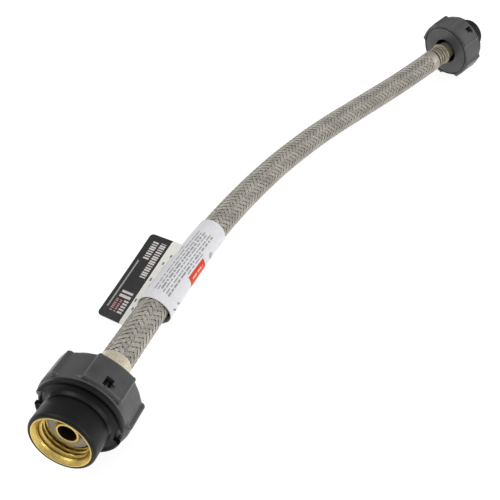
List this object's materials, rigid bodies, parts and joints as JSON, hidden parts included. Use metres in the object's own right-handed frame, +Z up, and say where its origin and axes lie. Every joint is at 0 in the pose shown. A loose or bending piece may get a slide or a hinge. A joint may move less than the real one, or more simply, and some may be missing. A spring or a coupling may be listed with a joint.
{
  "type": "braided connector hose",
  "caption": "Flexible braided faucet supply hose with a torque-limiting plastic hand nut and a brass female thread at each end, a wrapped label and a flag tag.",
  "frame": {"origin": "on the surface that the hose lies on, under the middle of the box round the two end fittings", "axes": "+X from the pipe-thread nut to the compression nut, +Y to the side that the hose bows to, +Z up"},
  "size_m": [0.4022, 0.0697, 0.0417],
  "materials": {
    "braid": "woven",
    "liner": "smooth",
    "label_film": "printed film",
    "tag_card": "printed card",
    "ferrule_metal": "satin",
    "stem_brass": "turned",
    "slip_plastic": "smooth",
    "washer_rubber": "moulded",
    "insert_brass": "turned",
    "nut_plastic": "satin",
    "click_plastic": "smooth",
    "ring_plastic": "smooth",
    "cap_plastic": "satin"
  },
  "bodies": {
    "hose": {"hose_braid": "braid", "hose_liner": "liner", "wrap_label": "label_film", "hang_tag": "tag_card", "near_ferrule": "ferrule_metal", "near_stem": "stem_brass", "near_slip_ring": "slip_plastic", "near_washer": "washer_rubber", "far_ferrule": "ferrule_metal", "far_stem": "stem_brass", "far_slip_ring": "slip_plastic", "far_washer": "washer_rubber"},
    "near_nut": {"near_thread_insert": "insert_brass", "near_inner_nut": "nut_plastic"},
    "near_cap": {"near_drive_cap": "cap_plastic", "near_click_ring": "click_plastic", "near_retaining_ring": "ring_plastic"},
    "far_nut": {"far_thread_insert": "insert_brass", "far_inner_nut": "nut_plastic"},
    "far_cap": {"far_drive_cap": "cap_plastic", "far_click_ring": "click_plastic", "far_retaining_ring": "ring_plastic"}
  },
  "joints": [
    {"name": "near_swivel", "type": "hinge", "parent": "hose", "child": "near_nut", "pos_m": [-0.1613, 0.0051, 0.018], "axis": [-0.9384, -0.2963, 0.1778], "continuous": true},
    {"name": "near_click", "type": "hinge", "parent": "near_nut", "child": "near_cap", "pos_m": [-0.1613, 0.0051, 0.018], "axis": [-0.9384, -0.2963, 0.1778], "continuous": true},
    {"name": "far_swivel", "type": "hinge", "parent": "hose", "child": "far_nut", "pos_m": [0.1613, 0.0048, 0.0166], "axis": [0.9364, -0.276, 0.2168], "continuous": true},
    {"name": "far_click", "type": "hinge", "parent": "far_nut", "child": "far_cap", "pos_m": [0.1613, 0.0048, 0.0166], "axis": [0.9364, -0.276, 0.2168], "continuous": true}
  ]
}
